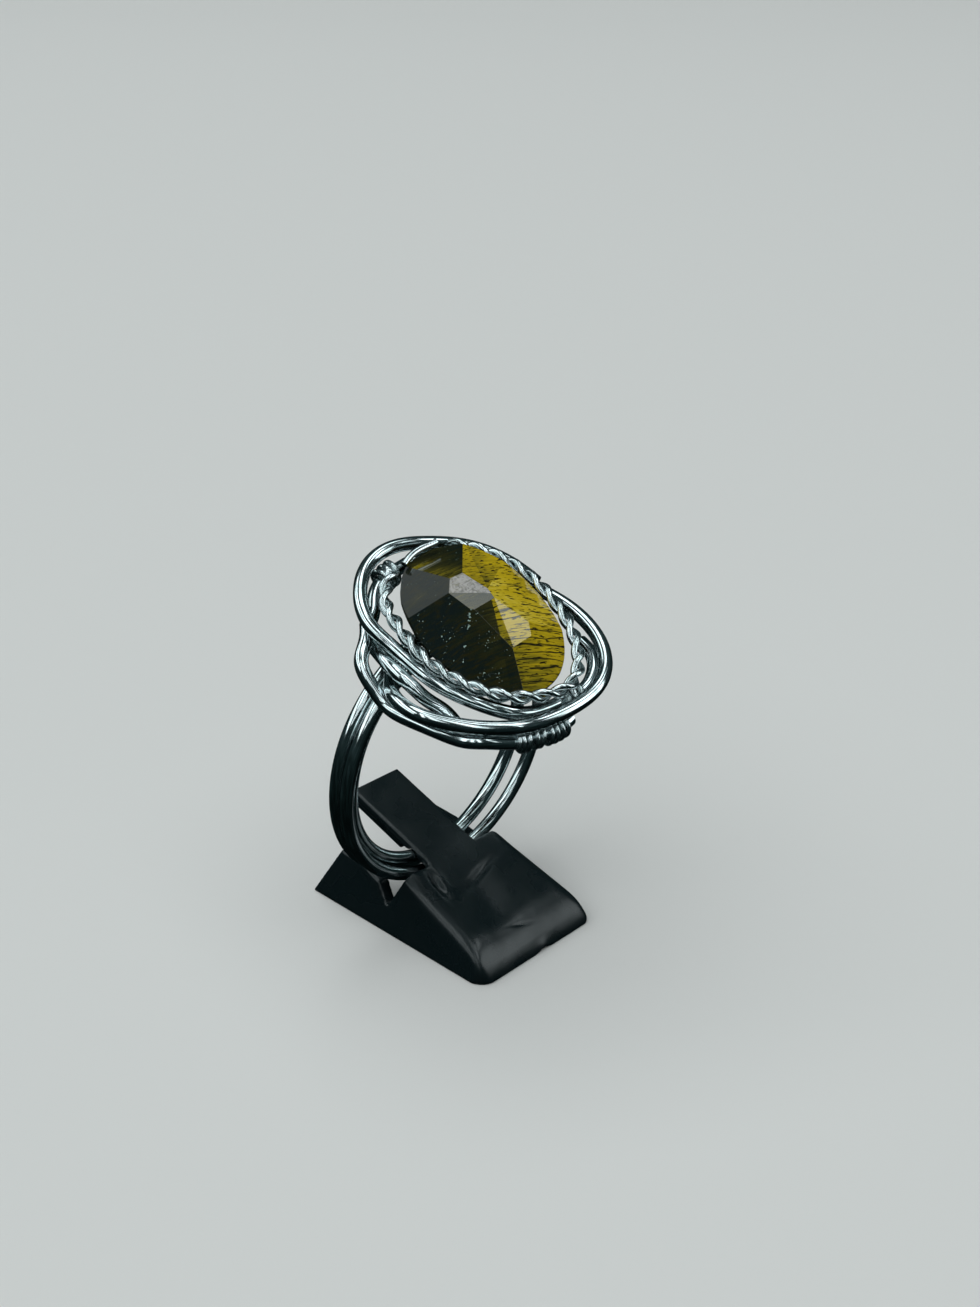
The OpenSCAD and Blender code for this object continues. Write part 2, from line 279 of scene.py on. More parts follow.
def hand_over(piece, name, node, material):
    """Names a finished piece, dresses it and lets it stand for its solid."""
    piece.name = name
    piece.data.name = name
    piece.data.materials.clear()
    piece.data.materials.append(material)
    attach(piece, "root")
    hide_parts(node)
    lit_pieces.objects.link(piece)


stand = keep_copy("display_stand")
remesh = stand.modifiers.new("remesh", "REMESH")
remesh.mode = "VOXEL"
remesh.voxel_size = STAND_DETAIL
bpy.ops.object.modifier_apply(modifier="remesh")
wear_down(stand, WEAR)
ramp_side = stand.vertex_groups.new(name="ramp_side")
for vertex in stand.data.vertices:
    spot = vertex.co / MM
    along_share = min(1, max(0, (WEAR_ALONG[0] - spot.y) / WEAR_ALONG[1]))
    up_share = min(1, max(0, (spot.z - WEAR_UP[0]) / WEAR_UP[1]))
    if along_share * up_share > 0:
        ramp_side.add([vertex.index], along_share * up_share, "REPLACE")
wear_down(stand, RAMP_WEAR, "ramp_side")
(chip_x, chip_y), chip_reach, chip_height = CHIP
upward = [vertex.normal.z for vertex in stand.data.vertices]
for vertex in stand.data.vertices:
    spot = vertex.co / MM
    for (x, y), half_length, half_width, turn, depth in DENTS:
        away = Vector((spot.x - x, spot.y - y, 0))
        away.rotate(Euler((0, 0, -math.radians(turn))))
        reach = (away.x / half_length) ** 2 + (away.y / half_width) ** 2
        on_top = spot.z > DENTS_ABOVE and upward[vertex.index] > FACING_UP
        if on_top and reach < DENT_END ** 2:
            vertex.co.z -= depth * math.exp(-reach) * MM
    from_chip = math.hypot(spot.x - chip_x, spot.y - chip_y) / chip_reach
    if spot.z < CHIP_TOP and from_chip < DENT_END:
        vertex.co.z += chip_height * math.exp(-from_chip ** 2) * (CHIP_TOP - spot.z) * MM
bpy.ops.object.shade_smooth()

abs_plastic = new_material("moulded_abs")
place = add_node(abs_plastic, "TexCoord", {})
# Fine spark-eroded grain left by the mould, about 0.15 mm
grain = add_node(
    abs_plastic, "TexNoise", {"Vector": place.outputs["Object"], "Scale": 6500, "Detail": 2}
)
# Slow waves where the plastic shrank as it cooled
sink = add_node(
    abs_plastic, "TexNoise", {"Vector": place.outputs["Object"], "Scale": 350, "Detail": 2}
)
grain_relief = add_node(
    abs_plastic,
    "Bump",
    {"Height": grain.outputs["Fac"], "Strength": 0.35, "Distance": 0.01 * MM},
)
sink_relief = add_node(
    abs_plastic,
    "Bump",
    {
        "Height": sink.outputs["Fac"],
        "Strength": 0.6,
        "Distance": 0.12 * MM,
        "Normal": grain_relief.outputs["Normal"],
    },
)
rub = add_node(abs_plastic, "ValToRGB", {"Fac": sink.outputs["Fac"]})
set_stops(rub, [(0.3, "#848484"), (0.7, "#9c9c9c")])
finish_shader(
    abs_plastic,
    {"Base Color": linear("#091214"), "IOR": 1.5},
    {"Roughness": rub.outputs["Color"], "Normal": sink_relief.outputs["Normal"]},
)
hand_over(stand, "moulded_stand", "display_stand", abs_plastic)

# Band
# Three hoops of 1 mm round copper wire, silver plated and polished. Two lie side by
# side and the third rests in the groove inside them.
RING_CENTRE = Vector((0, 0.92, 13.18)) * MM
RING_LEAN = math.radians(4.7)
WIRE_D = 1.0 * MM
# Each hoop: its node, its radius and place along the finger in millimetres, and its yaw
# in degrees
HOOPS = [
    ("band_wire_far", 9.65, 0.75, 2.4),
    ("band_wire_near", 9.65, -0.86, -0.5),
    ("band_wire_inner", 8.77, 0.12, 2),
]

silver = new_material("polished_silver_plate")
place = add_node(silver, "TexCoord", {})
wire_map = add_node(silver, "UVMap", {}, uv_map="UVMap")
# Fine lines that the draw plate leaves along the wire: how many round it, and how many
# lengths of them from end to end
DRAW_LINES = 40
DRAW_LENGTHS = 9
lines_place = add_node(
    silver,
    "Mapping",
    {"Vector": wire_map.outputs["UV"], "Scale": (DRAW_LINES, DRAW_LENGTHS, 1)},
)
draw_lines = add_node(
    silver, "TexNoise", {"Vector": lines_place.outputs["Vector"], "Scale": 1, "Detail": 2}
)
draw_relief = add_node(
    silver,
    "Bump",
    {"Height": draw_lines.outputs["Fac"], "Strength": 1.0, "Distance": 0.001 * MM},
)
# Marks of the pliers and of bending by hand, about three millimetres long
bends = add_node(
    silver, "TexNoise", {"Vector": place.outputs["Object"], "Scale": 300, "Detail": 0}
)
bend_relief = add_node(
    silver,
    "Bump",
    {
        "Height": bends.outputs["Fac"],
        "Strength": 0.2,
        "Distance": 0.02 * MM,
        "Normal": draw_relief.outputs["Normal"],
    },
)
# Tarnish and fingerprints, in patches about a millimetre wide
patches = add_node(
    silver, "TexNoise", {"Vector": place.outputs["Object"], "Scale": 900, "Detail": 4}
)
tarnish = add_node(silver, "ValToRGB", {"Fac": patches.outputs["Fac"]})
set_stops(tarnish, [(0.3, "#b8c6c6"), (0.6, "#e4ebed")])
polish = add_node(silver, "ValToRGB", {"Fac": patches.outputs["Fac"]})
set_stops(polish, [(0.35, "#686868"), (0.65, "#545454")])
finish_shader(
    silver,
    {"Metallic": 1.0},
    {
        "Base Color": tarnish.outputs["Color"],
        "Roughness": polish.outputs["Color"],
        "Normal": bend_relief.outputs["Normal"],
    },
)

lean = Matrix.Translation(RING_CENTRE) @ Matrix.Rotation(RING_LEAN, 4, "X")
for node, radius, along_finger, yaw in HOOPS:
    bpy.ops.object.select_all(action="DESELECT")
    bpy.ops.mesh.primitive_torus_add(
        major_radius=radius * MM, minor_radius=WIRE_D / 2, major_segments=240, minor_segments=28
    )
    hoop = bpy.context.object
    # A torus has its map along the wire first, and a bent wire has it round first
    for corner in hoop.data.uv_layers["UVMap"].data:
        corner.uv = (corner.uv[1], corner.uv[0])
    hoop.matrix_world = (
        lean
        @ Matrix.Translation((0, along_finger * MM, 0))
        @ Matrix.Rotation(math.radians(yaw), 4, "Z")
        @ Matrix.Rotation(math.radians(90), 4, "X")
    )
    bpy.ops.object.transform_apply(location=True, rotation=True, scale=True)
    bpy.ops.object.shade_smooth()
    hand_over(hoop, node.replace("band_wire", "hoop"), node, silver)

# Nest
# Four lengths of the same wire, bent round the stone by hand and hooked over each other.
# Their points are in millimetres on the plane of the stone's edge: across, along, height.
HEAD = Matrix.Translation(Vector((0.2, -3.4, 24.9)) * MM) @ Euler(
    (math.radians(24.4), math.radians(-10.3), 0)
).to_matrix().to_4x4()
UPPER = [
    (6.4, 0.6, -1.1), (6.2, 2.6, -1.0), (5.6, 4.7, -1.1), (4.5, 6.5, -1.1),
    (2.8, 7.6, -0.9), (1.6, 8.2, -0.7), (-0.1, 9.0, -0.7), (-2.1, 8.8, -0.7),
    (-3.9, 7.9, -0.7), (-5.3, 6.4, -0.7), (-6.2, 4.8, -0.7), (-6.2, 3.3, -0.8),
    (-6.2, 1.7, -0.9), (-6.2, 0.1, -0.9), (-6.0, -1.7, -0.9), (-5.6, -3.1, -0.9),
    (-4.5, -5.3, -1.0), (-3.5, -6.4, -1.2), (-2.2, -7.1, -1.5), (-0.8, -7.4, -1.8),
    (0.6, -7.6, -1.9), (1.9, -7.8, -1.9), (2.9, -7.7, -1.9), (3.9, -7.3, -1.9),
    (4.8, -6.6, -1.9), (5.5, -5.7, -2.1), (5.8, -4.6, -2.3),
]
OUTER = [
    (-6.5, 1.8, -2.7), (-7.0, 1.3, -2.7), (-7.6, 0.7, -2.5), (-8.5, -0.4, -1.8),
    (-8.8, -1.9, -1.2), (-8.6, -3.0, -1.0), (-8.0, -4.1, -0.9), (-6.9, -5.6, -0.8),
    (-5.8, -6.7, -0.7), (-4.5, -7.6, -0.6), (-3.1, -8.3, -0.6), (-0.1, -8.8, -0.7),
    (2.2, -8.7, -0.7), (4.2, -7.8, -0.7), (5.7, -6.1, -0.9), (6.5, -3.9, -1.1),
    (6.9, -1.4, -1.6), (6.7, 0.8, -2.1), (6.2, 3.0, -2.1), (5.5, 5.0, -2.2),
    (4.1, 6.9, -2.2), (2.2, 7.8, -2.0), (0.6, 7.8, -2.0), (-0.6, 8.0, -2.1),
    (-2.3, 7.7, -2.1), (-3.5, 6.8, -2.1), (-4.2, 6.1, -2.1), (-5.2, 5.5, -2.0),
]
LOWER = [
    (-5.6, 5.4, -1.8), (-6.5, 4.4, -1.8), (-7.5, 3.8, -2.0), (-8.1, 3.1, -2.3),
    (-8.3, 2.0, -2.7), (-8.3, 0.9, -3.3), (-8.3, -0.2, -3.4), (-8.3, -1.5, -3.0),
    (-8.0, -3.3, -2.4), (-7.6, -4.9, -2.1), (-7.1, -5.9, -1.9), (-6.5, -6.6, -1.7),
    (-5.6, -7.3, -1.8), (-4.7, -7.9, -1.9), (-4.0, -8.2, -1.9), (-3.1, -8.5, -1.9),
    (-2.1, -8.8, -2.0), (-1.3, -8.9, -2.0), (-0.1, -8.8, -2.1),
]
CRADLE = [
    (-5.6, 5.0, -3.0), (-5.9, 4.2, -2.8), (-6.5, 2.9, -2.1), (-7.1, 1.4, -1.5),
    (-7.1, 0.3, -1.5), (-7.0, -0.7, -1.6), (-6.8, -1.5, -2.0), (-6.5, -2.3, -2.2),
    (-6.2, -3.1, -2.4), (-6.3, -4.1, -2.5),
]
# A wire springs into an even bend: points to each row, and the pushes that even them
PER_ROW = 3
RELAXING = [0.5, -0.52] * 60


def along(route, s):
    """The point at position s of the smooth curve through a route's points."""
    i = min(int(s), len(route) - 2)
    f = s - i
    a, b, c, d = (Vector(route[min(max(k, 0), len(route) - 1)]) for k in (i - 1, i, i + 1, i + 2))
    return 0.5 * (
        2 * b + (c - a) * f + (2 * a - 5 * b + 4 * c - d) * f ** 2
        + (3 * b - 3 * c + d - a) * f ** 3
    )


def relax(route):
    """Points along a route's smooth curve, with the kinks of its rounded numbers worn away."""
    points = [along(route, k / PER_ROW) for k in range((len(route) - 1) * PER_ROW + 1)]
    for push in RELAXING:
        inner = [b + push * ((a + c) / 2 - b) for a, b, c in zip(points, points[1:], points[2:])]
        points = [points[0], *inner, points[-1]]
    return points


def bend_wire(route, thickness, steps=4, roundness=6):
    """A wire of even thickness bent smoothly through the points of a route."""
    bpy.ops.object.select_all(action="DESELECT")
    bpy.ops.curve.primitive_bezier_curve_add()
    wire = bpy.context.object
    knots = wire.data.splines[0].bezier_points
    knots.add(len(route) - 2)
    points = [Vector(point) for point in route]
    for i, knot in enumerate(knots):
        # A handle reaches a third of the way to the next point
        reach = (points[min(i + 1, len(points) - 1)] - points[max(i - 1, 0)]) / 6
        knot.handle_left_type = knot.handle_right_type = "FREE"
        knot.co = points[i]
        knot.handle_left = points[i] - reach
        knot.handle_right = points[i] + reach
    wire.data.resolution_u = steps
    wire.data.bevel_depth = thickness / 2
    wire.data.bevel_resolution = roundness
    wire.data.use_fill_caps = True
    bpy.ops.object.convert(target="MESH")
    bpy.ops.object.shade_smooth_by_angle(angle=math.radians(50))
    return wire


def on_head(route):
    """Points of a route on the tilted plane, placed on the ring in metres."""
    return [HEAD @ (Vector(point) * MM) for point in route]


for node, route in [
    ("halo_wire_lower", LOWER),
    ("cradle_wire", CRADLE),
    ("halo_wire_outer", OUTER),
    ("halo_wire_upper", UPPER),
]:
    wire = bend_wire(on_head(relax(route)), WIRE_D, roundness=10)
    hand_over(wire, node.replace("wire", "bend"), node, silver)

# Stone
# Tiger eye, a brown quartz with fine parallel fibres. It is sawn to an oval, ground to
# flat facets and polished. The fibres make one half look gold and the other black; this
# sheen is painted into the colour, facet by facet.
STONE_WIDTH = 10 * MM
STONE_LENGTH = 14 * MM
STONE_TURN = math.radians(-12.4)
STONE_SHIFT = Vector((-0.1, 0.05, 0)) * MM
CROWN_HEIGHT = 2.0 * MM
BACK_DEPTH = 1.7 * MM
# Crown facets: direction faced and tilt in degrees, distance in millimetres, how much
# painted sheen the fibres get there from 0 to 1, its change per millimetre across and
# along, how scuffed the polish is, and how pitted. The first is the table.
CROWN = [
    (127, 4, 1.81, 0.30, 0.0, 0.0, 1.0, 0.0),
    (131, 29, 2.73, 0.08, 0.0, 0.0, 0.02, 0.15),
    (175, 25, 2.22, 0.02, 0.0, 0.0, 0.04, 1.0),
    (-149, 18.5, 2.02, 0.11, 0.04, -0.01, 0.0, 0.9),
    (-109, 10, 1.8, 0.58, 0.10, 0.0, 0.1, 0.0),
    (-84, 11.5, 1.83, 0.80, 0.0, 0.0, 0.2, 0.0),
    (-87, 19, 2.25, 0.54, 0.05, 0.0, 0.0, 0.0),
    (-55, 23.5, 2.36, 0.70, 0.0, 0.0, 0.0, 0.0),
    (-11, 23.5, 1.88, 0.82, -0.07, 0.0, 0.0, 0.0),
    (17, 19.5, 2.01, 0.70, 0.07, 0.0, 0.0, 0.0),
    (87, 25, 2.76, 0.21, -0.08, 0.0, 0.0, 0.2),
]
# The painted sheen, scuffs and pits of the back and the girdle, with the same columns
BACK_SHEEN_AND_FINISH = [0.15, 0, 0, 0, 0]
# A painted shade on the stone ends in a line across the facet that faces -109 degrees: a
# point of the line in millimetres, its direction in degrees, and the painted sheen, scuffs
# and pits of the shaded side
ZONE_FACET = 4
ZONE_POINT = Vector((0.2, -0.1, 0))
ZONE_LINE = math.radians(58)
ZONE_SHADE_AND_FINISH = [0.24, 0.05, -0.05, 0.1, 0.2]
BACK_FACETS = 12
BACK_TILT = math.radians(38)
GIRDLE_LOW = 0.1 * MM

bpy.ops.object.select_all(action="DESELECT")
bpy.ops.mesh.primitive_cylinder_add(
    vertices=128,
    radius=1,
    depth=CROWN_HEIGHT + BACK_DEPTH,
    location=STONE_SHIFT + Vector((0, 0, (CROWN_HEIGHT - BACK_DEPTH) / 2)),
    rotation=(0, 0, STONE_TURN),
    calc_uvs=False,
)
gem = bpy.context.object
gem.scale = (STONE_WIDTH / 2, STONE_LENGTH / 2, 1)
bpy.ops.object.transform_apply(location=True, rotation=True, scale=True)


def direction(azimuth, tilt):
    """The unit vector that leans from upright by a tilt, toward an azimuth."""
    outward = math.sin(tilt)
    return Vector((outward * math.cos(azimuth), outward * math.sin(azimuth), math.cos(tilt)))


def grind(normal, point):
    """Grinds away all that lies beyond the plane through a point, square to a direction."""
    bpy.ops.mesh.select_all(action="SELECT")
    bpy.ops.mesh.bisect(
        plane_co=point, plane_no=normal, use_fill=True, clear_outer=True, threshold=1e-7
    )


bpy.ops.object.mode_set(mode="EDIT")
facets = []
for azimuth, tilt, distance, *sheen_and_finish in CROWN:
    normal = direction(math.radians(azimuth), math.radians(tilt))
    grind(normal, normal * distance * MM)
    facets.append((normal, sheen_and_finish))
for i in range(BACK_FACETS):
    angle = 2 * math.pi * (i + 0.5) / BACK_FACETS
    facing = math.atan2(math.sin(angle) / STONE_LENGTH, math.cos(angle) / STONE_WIDTH)
    touch = (STONE_WIDTH / 2 * math.cos(facing), STONE_LENGTH / 2 * math.sin(facing))
    support = math.hypot(*touch)
    azimuth = facing + STONE_TURN
    edge = Vector((support * math.cos(azimuth), support * math.sin(azimuth), -GIRDLE_LOW))
    grind(direction(azimuth, math.pi - BACK_TILT), STONE_SHIFT + edge)
zone_side = Vector((math.sin(ZONE_LINE), -math.cos(ZONE_LINE), 0))
bpy.ops.mesh.select_all(action="SELECT")
bpy.ops.mesh.bisect(plane_co=ZONE_POINT * MM, plane_no=zone_side, threshold=1e-7)
bpy.ops.object.mode_set(mode="OBJECT")
gem.matrix_world = HEAD
bpy.ops.object.transform_apply(location=True, rotation=True, scale=True)
# Polishing wears the edges between the flat facets a little round
round_edges = gem.modifiers.new("round_edges", "BEVEL")
round_edges.width = 0.03 * MM
round_edges.segments = 2
round_edges.limit_method = "ANGLE"
round_edges.angle_limit = math.radians(5)
bpy.ops.object.modifier_apply(modifier="round_edges")
bpy.ops.object.shade_flat()

# The painted sheen, the scuffs and the pits of each crown facet, kept at the corners of its faces
for kept in ("painted_sheen", "scuff", "pits"):
    gem.data.attributes.new(kept, "FLOAT", "CORNER")
stores = gem.data.attributes
from_ring = HEAD.inverted()
for face in gem.data.polygons:
    facing_up = from_ring.to_3x3() @ face.normal
    centre = from_ring @ face.center / MM
    normal, sheen_and_finish = max(facets, key=lambda f: f[0].dot(facing_up))
    if facing_up.z < FACING_UP:
        sheen_and_finish = BACK_SHEEN_AND_FINISH
    # Faces on the shaded side of the line get the painted shade
    elif normal == facets[ZONE_FACET][0] and (centre - ZONE_POINT).dot(zone_side) < 0:
        sheen_and_finish = ZONE_SHADE_AND_FINISH
    painted_sheen_share, painted_sheen_across, painted_sheen_along, scuff_share, pit_share = sheen_and_finish
    for corner in face.loop_indices:
        spot = from_ring @ gem.data.vertices[gem.data.loops[corner].vertex_index].co / MM
        step = spot - centre
        stores["painted_sheen"].data[corner].value = (
            painted_sheen_share + painted_sheen_across * step.x + painted_sheen_along * step.y
        )
        stores["scuff"].data[corner].value = scuff_share
        stores["pits"].data[corner].value = pit_share

tiger_eye = new_material("polished_tiger_eye")
place = add_node(tiger_eye, "TexCoord", {})
# Millimetres on the stone: across, along and up
local = add_node(
    tiger_eye,
    "Mapping",
    {
        "Vector": place.outputs["Object"],
        "Location": HEAD.to_translation(),
        "Rotation": HEAD.to_euler(),
        "Scale": (MM, MM, MM),
    },
    vector_type="TEXTURE",
)
axes = add_node(tiger_eye, "SeparateXYZ", {"Vector": local.outputs["Vector"]})
# The fibre bundles fan out a little: they drop by 0.1 mm a millimetre at the far end of
# the stone and by 0.5 at the near end
slant = add_node(
    tiger_eye, "Math", {0: axes.outputs["Y"], 1: -0.035, 2: 0.3}, operation="MULTIPLY_ADD"
)
level = add_node(
    tiger_eye,
    "Math",
    {0: axes.outputs["X"], 1: slant.outputs["Value"], 2: axes.outputs["Y"]},
    operation="MULTIPLY_ADD",
)
bundles = add_node(
    tiger_eye,
    "CombineXYZ",
    {"X": axes.outputs["X"], "Y": level.outputs["Value"], "Z": axes.outputs["Z"]},
)


def streaks(along_mm, across_mm, detail):
    """Noise drawn out along the stone's bundles, with the given sizes of its marks."""
    scaled = add_node(
        tiger_eye,
        "Mapping",
        {"Vector": bundles.outputs["Vector"], "Scale": (1 / along_mm, 1 / across_mm, 1)},
    )
    return add_node(
        tiger_eye, "TexNoise", {"Vector": scaled.outputs["Vector"], "Scale": 1, "Detail": detail}
    )


# Silky fibre lines and broader zones move the painted sheen up and down
silk = streaks(2.4, 0.11, 3)
zones = streaks(3.0, 1.2, 2)
# The painted sheen of each facet, from its corners
painted_sheen = add_node(tiger_eye, "Attribute", {}, attribute_name="painted_sheen")
silk_shift = add_node(
    tiger_eye,
    "Math",
    {0: silk.outputs["Fac"], 1: 0.5, 2: painted_sheen.outputs["Fac"]},
    operation="MULTIPLY_ADD",
)
zone_shift = add_node(
    tiger_eye,
    "Math",
    {0: zones.outputs["Fac"], 1: 0.5, 2: silk_shift.outputs["Value"]},
    operation="MULTIPLY_ADD",
)
# The painted sheen turns the stone from black, where none is painted, to gold
gold = add_node(tiger_eye, "ValToRGB", {"Fac": zone_shift.outputs["Value"]})
set_stops(
    gold,
    [
        (0.50, "#0b1211"),
        (0.64, "#11150b"),
        (0.80, "#2a270c"),
        (0.95, "#4e450f"),
        (1.00, "#6a5d12"),
    ],
)
# Past full sheen the gold pales toward cream, a painted highlight
sheen_past_full = add_node(
    tiger_eye, "Math", {0: zone_shift.outputs["Value"], 1: 1.0}, operation="SUBTRACT"
)
painted_highlight_gold = add_node(tiger_eye, "ValToRGB", {"Fac": sheen_past_full.outputs["Value"]})
set_stops(
    painted_highlight_gold,
    [(0.0, "#6a5d12"), (0.15, "#8a7410"), (0.35, "#a3890e"), (0.50, "#ad9420"), (0.65, "#b9a548")],
)
over_one = add_node(
    tiger_eye, "Math", {0: zone_shift.outputs["Value"], 1: 1.0}, operation="GREATER_THAN"
)
fibres_with_painted_sheen = add_node(
    tiger_eye,
    "Mix",
    {0: over_one.outputs["Value"], 6: gold.outputs["Color"], 7: painted_highlight_gold.outputs["Color"]},
    data_type="RGBA",
)
# Short dark dashes of fibre that never turned gold, half a millimetre long
dashes = streaks(0.55, 0.10, 1)
dash_marks = add_node(tiger_eye, "ValToRGB", {"Fac": dashes.outputs["Fac"]})
set_stops(dash_marks, [(0.58, "#000000"), (0.64, "#ffffff")])
# Long dark cracks across the near part of the stone, 0.6 mm apart, broken here and there
wander = streaks(2.5, 0.9, 2)
wandering = add_node(
    tiger_eye,
    "Math",
    {0: wander.outputs["Fac"], 1: 0.8, 2: level.outputs["Value"]},
    operation="MULTIPLY_ADD",
)
beside_crack = add_node(
    tiger_eye, "Math", {0: wandering.outputs["Value"], 1: 0.3}, operation="PINGPONG"
)
crack_marks = add_node(tiger_eye, "ValToRGB", {"Fac": beside_crack.outputs["Value"]})
set_stops(crack_marks, [(0.03, "#ffffff"), (0.075, "#000000")])
stretches = streaks(1.8, 0.5, 1)
toward_near = add_node(
    tiger_eye,
    "Math",
    {0: axes.outputs["Y"], 1: -0.05, 2: stretches.outputs["Fac"]},
    operation="MULTIPLY_ADD",
)
breaks = add_node(tiger_eye, "ValToRGB", {"Fac": toward_near.outputs["Value"]})
set_stops(breaks, [(0.54, "#000000"), (0.62, "#ffffff")])
cracks = add_node(
    tiger_eye,
    "Math",
    {0: crack_marks.outputs["Color"], 1: breaks.outputs["Color"]},
    operation="MULTIPLY",
)
marks = add_node(
    tiger_eye,
    "Math",
    {0: dash_marks.outputs["Color"], 1: cracks.outputs["Value"]},
    operation="MAXIMUM",
)
marked = add_node(
    tiger_eye,
    "Mix",
    {0: marks.outputs["Value"], 6: fibres_with_painted_sheen.outputs[2], 7: linear("#1d1a08")},
    data_type="RGBA",
)
# Tiny pits in loose clusters, pale with polishing powder, that show on the dark side
pits = add_node(
    tiger_eye,
    "TexNoise",
    {"Vector": local.outputs["Vector"], "Scale": 6, "Detail": 2, "Distortion": 0.6},
)
clusters = add_node(
    tiger_eye, "TexNoise", {"Vector": local.outputs["Vector"], "Scale": 0.7, "Detail": 1}
)
pit_level = add_node(
    tiger_eye,
    "Math",
    {0: clusters.outputs["Fac"], 1: 0.4, 2: pits.outputs["Fac"]},
    operation="MULTIPLY_ADD",
)
# They crowd along the edge between the two dark facets, which chipped as it was ground.
# The line of that edge is given by its normal and its distance from the stone's middle.
CHIPPED_EDGE = (0.638, -0.770, 0)
CHIPPED_EDGE_DISTANCE = 1.11
from_edge = add_node(
    tiger_eye,
    "VectorMath",
    {0: local.outputs["Vector"], 1: CHIPPED_EDGE},
    operation="DOT_PRODUCT",
)
edge_distance = add_node(
    tiger_eye,
    "Math",
    {0: from_edge.outputs["Value"], 1: CHIPPED_EDGE_DISTANCE},
    operation="ADD",
)
beside_edge = add_node(
    tiger_eye, "Math", {0: edge_distance.outputs["Value"]}, operation="ABSOLUTE"
)
crowding = add_node(tiger_eye, "ValToRGB", {"Fac": beside_edge.outputs["Value"]})
set_stops(crowding, [(0.0, "#ffffff"), (0.12, "#b0b0b0"), (0.3, "#000000")])
pit_chance = add_node(
    tiger_eye,
    "Math",
    {0: crowding.outputs["Color"], 1: 0.16, 2: pit_level.outputs["Value"]},
    operation="MULTIPLY_ADD",
)
pit_marks = add_node(tiger_eye, "ValToRGB", {"Fac": pit_chance.outputs["Value"]})
set_stops(pit_marks, [(0.92, "#000000"), (0.97, "#ffffff")])
pitting = add_node(tiger_eye, "Attribute", {}, attribute_name="pits")
open_pits = add_node(
    tiger_eye,
    "Math",
    {0: pit_marks.outputs["Color"], 1: pitting.outputs["Fac"]},
    operation="MULTIPLY",
)
pitted = add_node(
    tiger_eye,
    "Mix",
    {0: open_pits.outputs["Value"], 6: marked.outputs[2], 7: linear("#7f938c")},
    data_type="RGBA",
)
# One side of the table is scuffed by swirls of fine scratches, up to a crease
scuff = add_node(tiger_eye, "Attribute", {}, attribute_name="scuff")
crease = add_node(
    tiger_eye,
    "Math",
    {0: axes.outputs["X"], 1: 0.86, 2: axes.outputs["Y"]},
    operation="MULTIPLY_ADD",
)
beyond_crease = add_node(tiger_eye, "ValToRGB", {"Fac": crease.outputs["Value"]})
set_stops(beyond_crease, [(0.87, "#3c3c3c"), (0.90, "#ffffff")])
swirls = add_node(
    tiger_eye,
    "TexNoise",
    {"Vector": local.outputs["Vector"], "Scale": 2.5, "Detail": 5, "Distortion": 1.5},
)
swirl_marks = add_node(tiger_eye, "ValToRGB", {"Fac": swirls.outputs["Fac"]})
set_stops(swirl_marks, [(0.38, "#808080"), (0.60, "#d8d8d8")])
worn = add_node(
    tiger_eye,
    "Math",
    {0: beyond_crease.outputs["Color"], 1: swirl_marks.outputs["Color"]},
    operation="MULTIPLY",
)
haze = add_node(
    tiger_eye, "Math", {0: scuff.outputs["Fac"], 1: worn.outputs["Value"]}, operation="MULTIPLY"
)
surface = add_node(
    tiger_eye,
    "Mix",
    {0: haze.outputs["Value"], 6: pitted.outputs[2], 7: linear("#978f8c")},
    data_type="RGBA",
)
gloss = add_node(tiger_eye, "ValToRGB", {"Fac": haze.outputs["Value"]})
set_stops(gloss, [(0.0, "#3a3a3a"), (0.5, "#6e6e6e")])
pit_relief = add_node(
    tiger_eye,
    "Bump",
    {"Height": open_pits.outputs["Value"], "Strength": 0.6, "Distance": 0.02 * MM},
    invert=True,
)
finish_shader(
    tiger_eye,
    {"IOR": 1.54},
    {
        "Base Color": surface.outputs[2],
        "Roughness": gloss.outputs["Color"],
        "Normal": pit_relief.outputs["Normal"],
    },
)
hand_over(gem, "tiger_eye_stone", "stone", tiger_eye)

# Rope and coils
# Two thin strands of the same plated wire, twisted together to the left and laid round
# the stone's edge. The rope's ends are coiled round the nest, a thinner wire is wound
# round the lowest one, and another holds the stone's far edge.
ROPE = [
    (-2.1, 6.8, 0.0), (-3.1, 6.3, -0.1), (-3.9, 5.6, -0.1), (-4.6, 4.8, -0.1),
    (-5.0, 3.9, 0.0), (-5.3, 2.8, 0.1), (-5.9, 0.7, 0.2), (-5.9, -1.7, 0.3),
    (-5.2, -4.1, 0.5), (-4.2, -5.9, 0.6), (-2.7, -7.0, 0.5), (-1.3, -7.5, 0.3),
    (0.2, -7.8, 0.1), (1.7, -7.2, 0.0), (2.9, -6.2, 0.0), (4.0, -4.8, 0.0),
    (4.9, -2.7, 0.0), (5.5, -0.3, -0.1), (5.5, 2.2, -0.2), (5.0, 4.1, -0.3),
    (4.1, 5.8, -0.4), (3.3, 6.5, -0.4),
]
HOLDING = [
    (1.9, 6.7, 0.6), (1.0, 6.8, 0.6), (0.2, 6.9, 0.6), (-0.7, 6.8, 0.5), (-1.3, 6.6, 0.4),
]
# The thin strands were drawn without lines and rubbed dull, so their shine is broad
strand_silver = silver.copy()
strand_silver.name = "rubbed_silver_plate"
strand_nodes = strand_silver.node_tree.nodes
strand_nodes[draw_relief.name].inputs["Strength"].default_value = 0
strand_nodes[bend_relief.name].inputs["Strength"].default_value = 0
set_stops(strand_nodes[polish.name], [(0.35, "#848484"), (0.65, "#707070")])
STRAND_D = 0.46
HOLDING_D = 0.5
BINDING_D = 0.3
GAP = 0.04
ROPE_TURNS = 12
STEPS_PER_TURN = 16
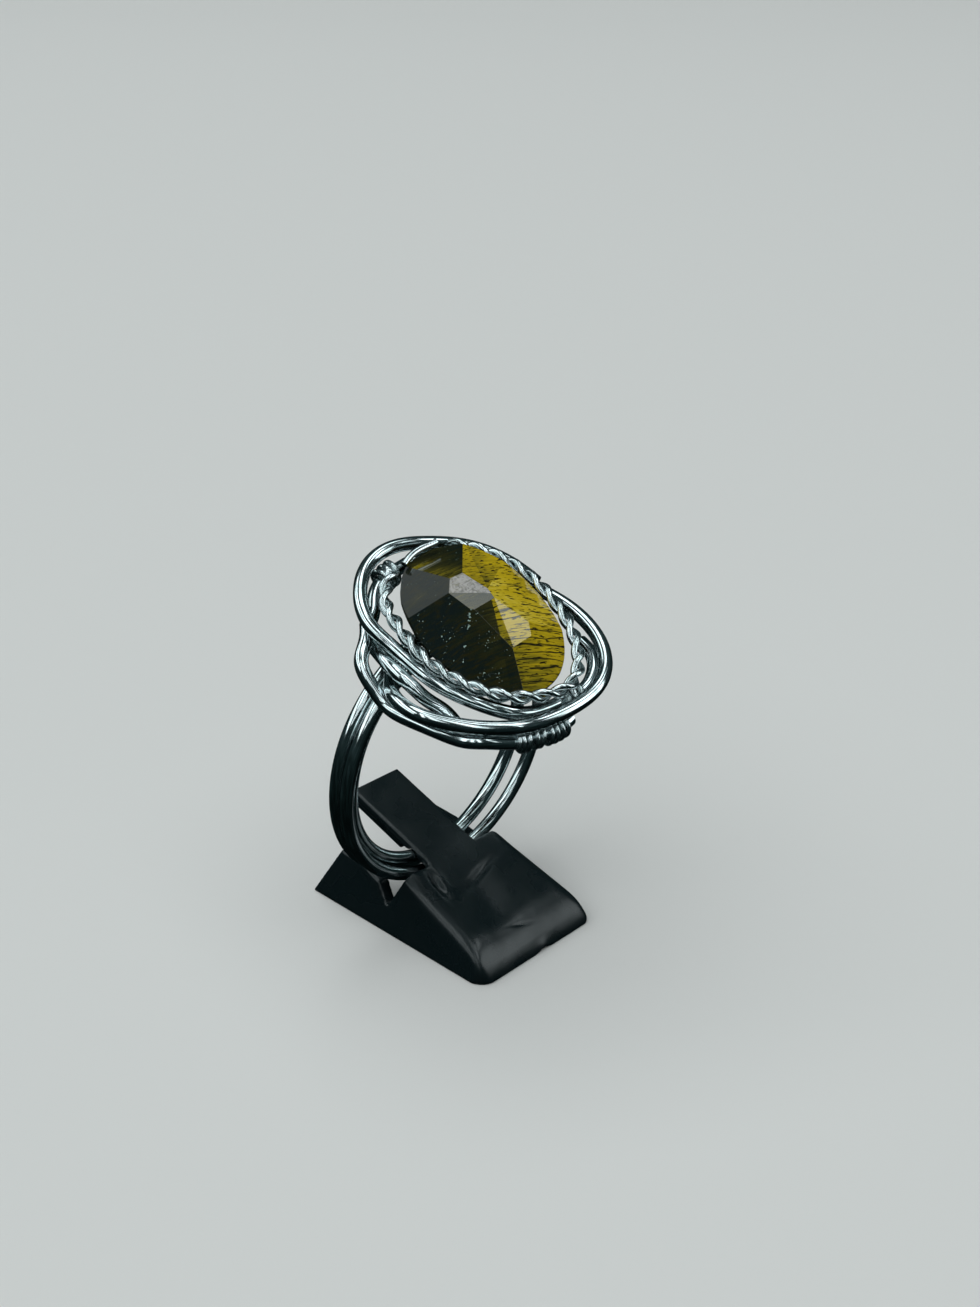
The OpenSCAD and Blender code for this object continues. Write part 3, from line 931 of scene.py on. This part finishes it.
# Coils round a wire, one a row: start and end in rows of its route, and number of turns
TAIL_COIL = [(22.9, 23.8, 2.5)]
END_COIL = [(19.8, 21.1, 2.75)]
BINDING = [
    (13.1, 13.9, 2), (13.9, 14.4, 0.5), (14.4, 15, 1.5), (15, 15.5, 0.5), (15.5, 17.3, 4),
]


def wind(path, angles, radius):
    """Turns a path into a winding round it, at the given angles and radius."""
    wound = []
    for i, point in enumerate(path):
        ahead = (path[min(i + 1, len(path) - 1)] - path[max(i - 1, 0)]).normalized()
        side = ahead.cross(Vector((0, 0, 1))).normalized()
        rise = side.cross(ahead)
        wound.append(
            point + radius * (math.cos(angles[i]) * side + math.sin(angles[i]) * rise)
        )
    return wound


rope_steps = ROPE_TURNS * STEPS_PER_TURN
rope_core = relax(ROPE)
rope_rows = len(rope_core) - 1
rope_path = [along(rope_core, rope_rows * k / rope_steps) for k in range(rope_steps + 1)]
run = [0]
for before, here in zip(rope_path, rope_path[1:]):
    run.append(run[-1] + (here - before).length)
for node, phase in [("rope_strand_a", 0), ("rope_strand_b", math.pi)]:
    angles = [phase - 2 * math.pi * ROPE_TURNS * length / run[-1] for length in run]
    strand = bend_wire(
        on_head(wind(rope_path, angles, STRAND_D / 2 + GAP)), STRAND_D * MM, steps=2, roundness=5
    )
    hand_over(strand, node.replace("rope_strand", "twist"), node, strand_silver)

for node, name, route, rows, thin_d in [
    ("binding_wire", "binding_turns", LOWER, BINDING, BINDING_D),
    ("rope_tail_coil", "tail_turns", OUTER, TAIL_COIL, STRAND_D),
    ("rope_end_coil", "end_turns", UPPER, END_COIL, STRAND_D),
]:
    core = relax(route)
    coil_path = []
    coil_angles = []
    turned = 0
    for start, end, turns in rows:
        count = math.ceil(turns * STEPS_PER_TURN)
        for k in range(1 if coil_path else 0, count + 1):
            coil_path.append(along(core, PER_ROW * (start + (end - start) * k / count)))
            coil_angles.append(2 * math.pi * (turned + turns * k / count))
        turned += turns
    coil = bend_wire(
        on_head(wind(coil_path, coil_angles, (WIRE_D / MM + thin_d) / 2 + GAP)),
        thin_d * MM,
        steps=2,
        roundness=5,
    )
    hand_over(coil, name, node, strand_silver)

holder = bend_wire(on_head(relax(HOLDING)), HOLDING_D * MM)
hand_over(holder, "holding_bend", "holding_wire", silver)
